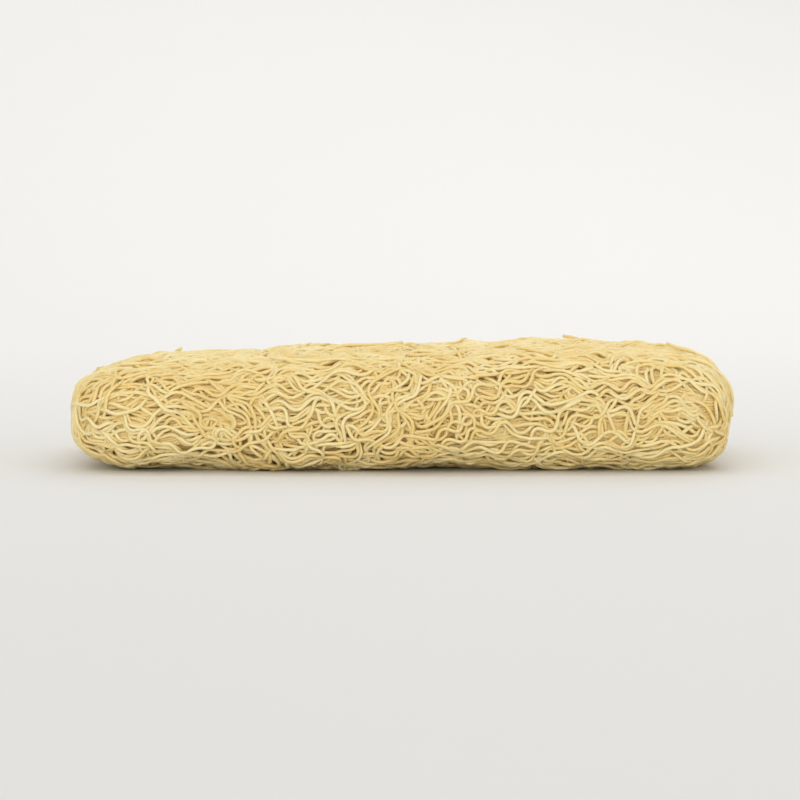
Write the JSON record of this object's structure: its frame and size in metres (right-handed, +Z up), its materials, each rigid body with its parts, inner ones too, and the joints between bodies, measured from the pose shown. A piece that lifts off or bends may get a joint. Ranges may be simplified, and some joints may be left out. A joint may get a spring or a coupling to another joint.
{
  "type": "block of dried rice vermicelli",
  "caption": "Flat, pillow-shaped block of dried rice vermicelli: fine wavy strands matted together, running lengthwise and over its rounded ends.",
  "frame": {"origin": "under the middle of the block, on the surface that it lies on", "axes": "+X along the block, towards its fuller end; +Z up, out of its upper face"},
  "size_m": [0.1548, 0.1014, 0.0284],
  "materials": {
    "dried_rice": "satin, slightly translucent straw yellow"
  },
  "bodies": {
    "root": {"block": "dried_rice"}
  },
  "joints": []
}
